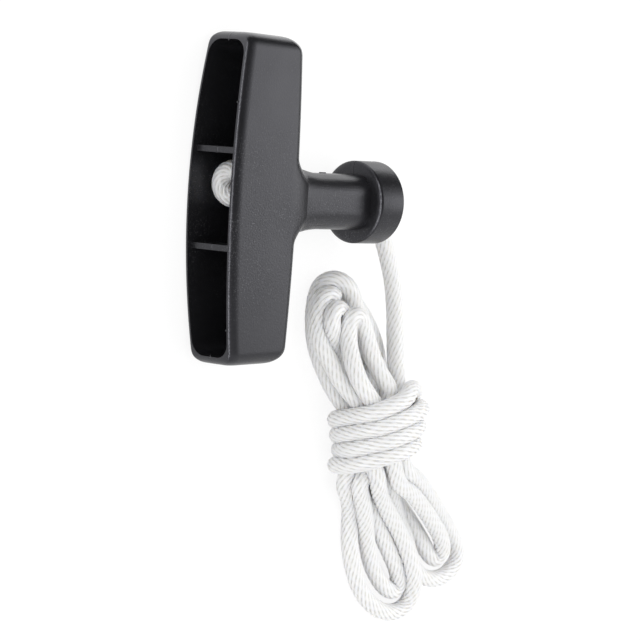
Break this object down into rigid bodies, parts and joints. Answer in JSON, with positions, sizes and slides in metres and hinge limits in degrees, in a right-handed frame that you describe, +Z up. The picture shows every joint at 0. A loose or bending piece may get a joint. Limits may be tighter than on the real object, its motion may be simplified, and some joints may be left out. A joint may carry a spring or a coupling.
{
  "type": "recoil starter handle",
  "caption": "Moulded plastic T-handle for pulling an engine's recoil starter, with its white braided rope knotted inside the hollow grip and tied up in a hank.",
  "frame": {"origin": "on the surface that the handle lies on, below the middle of the handle's box, without its rope", "axes": "+X along the stem, from the open front of the grip to the flange; +Y along the grip, away from the rope hank; +Z up, across the grip"},
  "size_m": [0.1507, 0.198, 0.032],
  "materials": {
    "black_plastic": "satin black moulded plastic with a fine stipple",
    "white_rope": "glossy white braided nylon rope"
  },
  "bodies": {
    "root": {"handle": "black_plastic", "rope_knot": "white_rope", "rope_lead": "white_rope", "rope_hank": "white_rope"}
  },
  "joints": []
}
